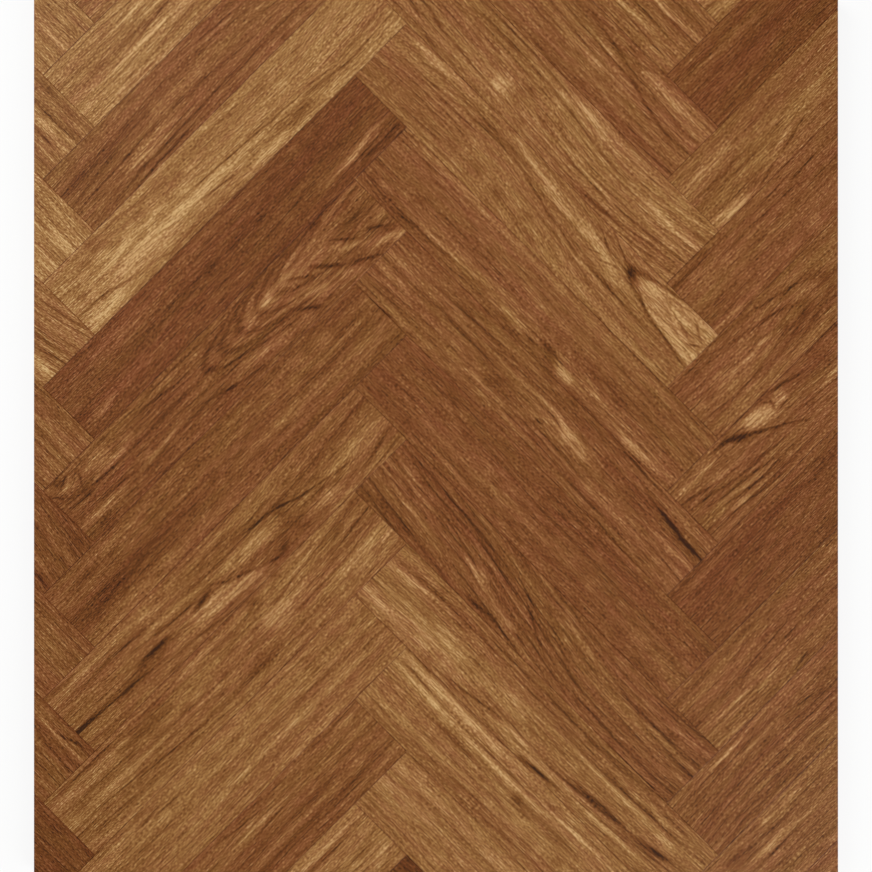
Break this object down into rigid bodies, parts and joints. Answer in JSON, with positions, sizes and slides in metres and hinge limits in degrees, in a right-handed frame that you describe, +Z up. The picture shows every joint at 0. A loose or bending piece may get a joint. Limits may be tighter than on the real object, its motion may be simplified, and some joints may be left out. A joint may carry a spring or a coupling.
{
  "type": "herringbone parquet panel",
  "caption": "Square-trimmed panel of solid teak herringbone parquet: end-matched tongue-and-groove staves of both hands, laid at 45 degrees in zigzag columns with finely bevelled joints.",
  "frame": {"origin": "centre of the underside", "axes": "+Z up through the walking face, +Y along the zigzags, up in the picture, +X across the zigzag columns"},
  "size_m": [0.82, 0.9, 0.015],
  "materials": {
    "oiled_teak": "satin oiled"
  },
  "bodies": {
    "root": {"column_1_bottom_offcut_1": "oiled_teak", "column_1_bottom_offcut_2": "oiled_teak", "column_1_stave_1": "oiled_teak", "column_1_stave_2": "oiled_teak", "column_1_stave_3": "oiled_teak", "column_1_stave_4": "oiled_teak", "column_1_stave_5": "oiled_teak", "column_1_stave_6": "oiled_teak", "column_1_stave_7": "oiled_teak", "column_1_top_offcut_1": "oiled_teak", "column_1_top_offcut_2": "oiled_teak", "column_2_bottom_offcut_1": "oiled_teak", "column_2_bottom_offcut_2": "oiled_teak", "column_2_bottom_offcut_3": "oiled_teak", "column_2_bottom_offcut_4": "oiled_teak", "column_2_stave_1": "oiled_teak", "column_2_stave_2": "oiled_teak", "column_2_stave_3": "oiled_teak", "column_2_stave_4": "oiled_teak", "column_2_stave_5": "oiled_teak", "column_2_top_offcut_1": "oiled_teak", "column_2_top_offcut_2": "oiled_teak", "column_2_top_offcut_3": "oiled_teak", "column_3_bottom_offcut_1": "oiled_teak", "column_3_bottom_offcut_2": "oiled_teak", "column_3_bottom_offcut_3": "oiled_teak", "column_3_stave_1": "oiled_teak", "column_3_stave_2": "oiled_teak", "column_3_stave_3": "oiled_teak", "column_3_stave_4": "oiled_teak", "column_3_stave_5": "oiled_teak", "column_3_top_offcut_1": "oiled_teak", "column_3_top_offcut_2": "oiled_teak", "column_3_top_offcut_3": "oiled_teak", "column_3_top_offcut_4": "oiled_teak", "column_4_bottom_offcut_1": "oiled_teak", "column_4_stave_1": "oiled_teak", "column_4_stave_2": "oiled_teak", "column_4_stave_3": "oiled_teak", "column_4_stave_4": "oiled_teak", "column_4_stave_5": "oiled_teak", "column_4_stave_6": "oiled_teak", "column_4_stave_7": "oiled_teak", "column_4_top_offcut_1": "oiled_teak"}
  },
  "joints": []
}
